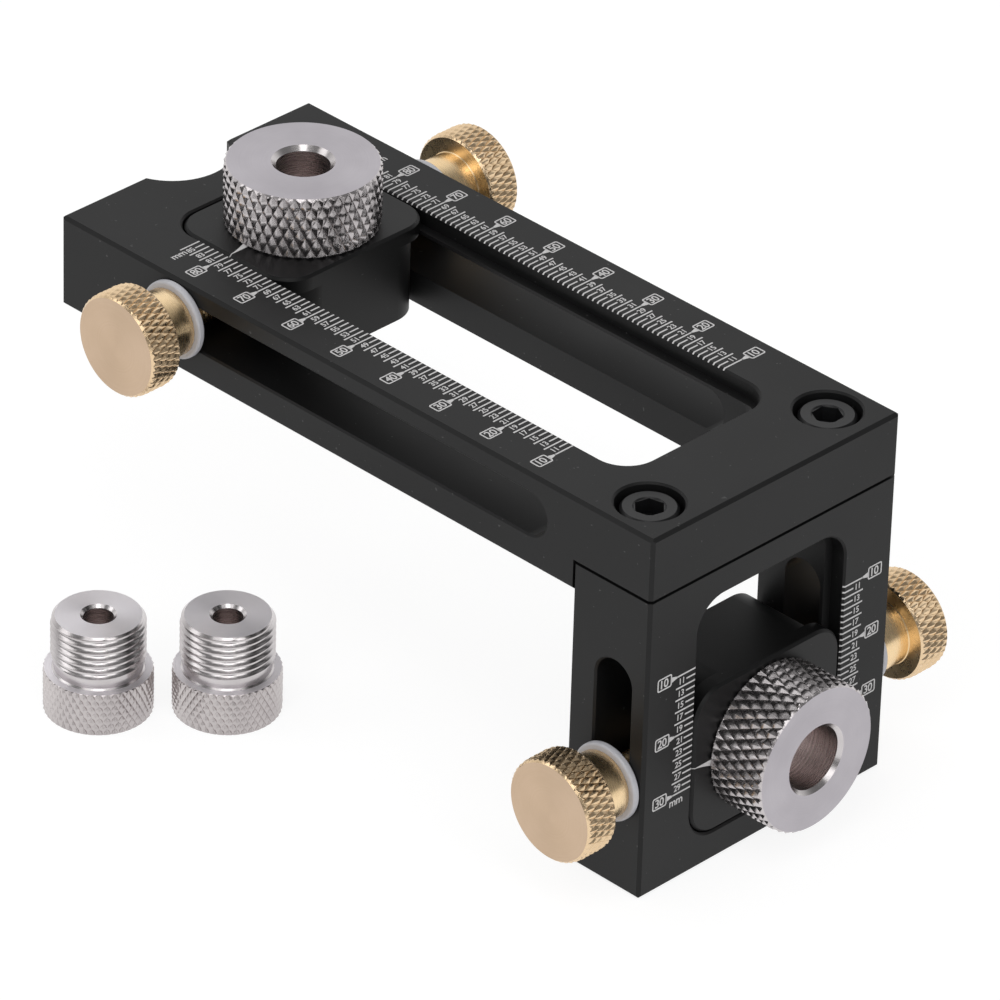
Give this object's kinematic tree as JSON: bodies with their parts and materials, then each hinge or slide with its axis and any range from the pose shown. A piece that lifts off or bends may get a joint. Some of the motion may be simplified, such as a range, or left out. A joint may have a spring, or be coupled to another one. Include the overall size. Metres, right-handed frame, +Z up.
{
  "type": "doweling drill guide",
  "caption": "Right-angle drill guide: a slotted arm and end block, each with a sliding, scale-read, thumb-screw-clamped drill bush; spare bushes stand beside it.",
  "frame": {"origin": "the corner where the arm's underside meets the end block's inner face, at mid-width: the zero of both scales, where the board's edge sits", "axes": "+Z up through the arm's scale face, +X out through the end block's scale face, so the arm runs to -X and the end block to -Z; near side -Y, far side +Y"},
  "size_m": [0.1299, 0.0921, 0.0699],
  "materials": {
    "black_anodised": "satin black anodised aluminium",
    "slider_anodised": "smooth satin black anodised aluminium",
    "black_oxide_steel": "black oxide on steel",
    "bush_steel": "turned and knurled bright steel",
    "knob_brass": "turned and knurled brass",
    "nylon": "white nylon"
  },
  "bodies": {
    "frame": {"rail_plate": "black_anodised", "end_block": "black_anodised", "cap_screw_near": "black_oxide_steel", "cap_screw_far": "black_oxide_steel"},
    "top_carrier": {"top_slider": "slider_anodised"},
    "top_bush_body": {"top_bush": "bush_steel"},
    "top_washer_near_body": {"top_washer_near": "nylon"},
    "top_knob_near_body": {"top_knob_near": "knob_brass"},
    "top_washer_far_body": {"top_washer_far": "nylon"},
    "top_knob_far_body": {"top_knob_far": "knob_brass"},
    "front_carrier": {"front_slider": "slider_anodised"},
    "front_bush_body": {"front_bush": "bush_steel"},
    "front_washer_near_body": {"front_washer_near": "nylon"},
    "front_knob_near_body": {"front_knob_near": "knob_brass"},
    "front_washer_far_body": {"front_washer_far": "nylon"},
    "front_knob_far_body": {"front_knob_far": "knob_brass"},
    "spare_left_body": {"spare_bush_left": "bush_steel"},
    "spare_right_body": {"spare_bush_right": "bush_steel"}
  },
  "joints": [
    {"name": "top_slide", "type": "slide", "parent": "frame", "child": "top_carrier", "axis": [1, 0, 0], "range_m": [-0.0002, 0.068]},
    {"name": "front_slide", "type": "slide", "parent": "frame", "child": "front_carrier", "axis": [0, 0, 1], "range_m": [0, 0.0152]},
    {"name": "top_bush_out", "type": "slide", "parent": "top_carrier", "child": "top_bush_body", "axis": [0, 0, 1], "range_m": [0, 0.016]},
    {"name": "front_bush_out", "type": "slide", "parent": "front_carrier", "child": "front_bush_body", "axis": [1, 0, 0], "range_m": [0, 0.016]},
    {"name": "top_washer_near_out", "type": "slide", "parent": "top_carrier", "child": "top_washer_near_body", "axis": [0, -1, 0], "range_m": [0, 0.0044]},
    {"name": "top_knob_near_turn", "type": "hinge", "parent": "top_washer_near_body", "child": "top_knob_near_body", "pos_m": [-0.0804, -0.031, 0.0085], "axis": [0, -1, 0], "range_deg": [0, 1800]},
    {"name": "top_washer_far_out", "type": "slide", "parent": "top_carrier", "child": "top_washer_far_body", "axis": [0, 1, 0], "range_m": [0, 0.0044]},
    {"name": "top_knob_far_turn", "type": "hinge", "parent": "top_washer_far_body", "child": "top_knob_far_body", "pos_m": [-0.0804, 0.031, 0.0085], "axis": [0, 1, 0], "range_deg": [0, 1800]},
    {"name": "front_washer_near_out", "type": "slide", "parent": "front_carrier", "child": "front_washer_near_body", "axis": [0, -1, 0], "range_m": [0, 0.0044]},
    {"name": "front_knob_near_turn", "type": "hinge", "parent": "front_washer_near_body", "child": "front_knob_near_body", "pos_m": [0.0085, -0.031, -0.0276], "axis": [0, -1, 0], "range_deg": [0, 1800]},
    {"name": "front_washer_far_out", "type": "slide", "parent": "front_carrier", "child": "front_washer_far_body", "axis": [0, 1, 0], "range_m": [0, 0.0044]},
    {"name": "front_knob_far_turn", "type": "hinge", "parent": "front_washer_far_body", "child": "front_knob_far_body", "pos_m": [0.0085, 0.031, -0.0276], "axis": [0, 1, 0], "range_deg": [0, 1800]},
    {"name": "spare_left_lift", "type": "slide", "parent": "frame", "child": "spare_left_body", "axis": [0, 0, 1], "range_m": [0, 0.025]},
    {"name": "spare_right_lift", "type": "slide", "parent": "frame", "child": "spare_right_body", "axis": [0, 0, 1], "range_m": [0, 0.025]}
  ],
  "couplings": [
    {"joint": "top_washer_near_out", "follows": "top_knob_near_turn", "m_per_rad": 0.00012732},
    {"joint": "top_washer_far_out", "follows": "top_knob_far_turn", "m_per_rad": 0.00012732},
    {"joint": "front_washer_near_out", "follows": "front_knob_near_turn", "m_per_rad": 0.00012732},
    {"joint": "front_washer_far_out", "follows": "front_knob_far_turn", "m_per_rad": 0.00012732}
  ]
}
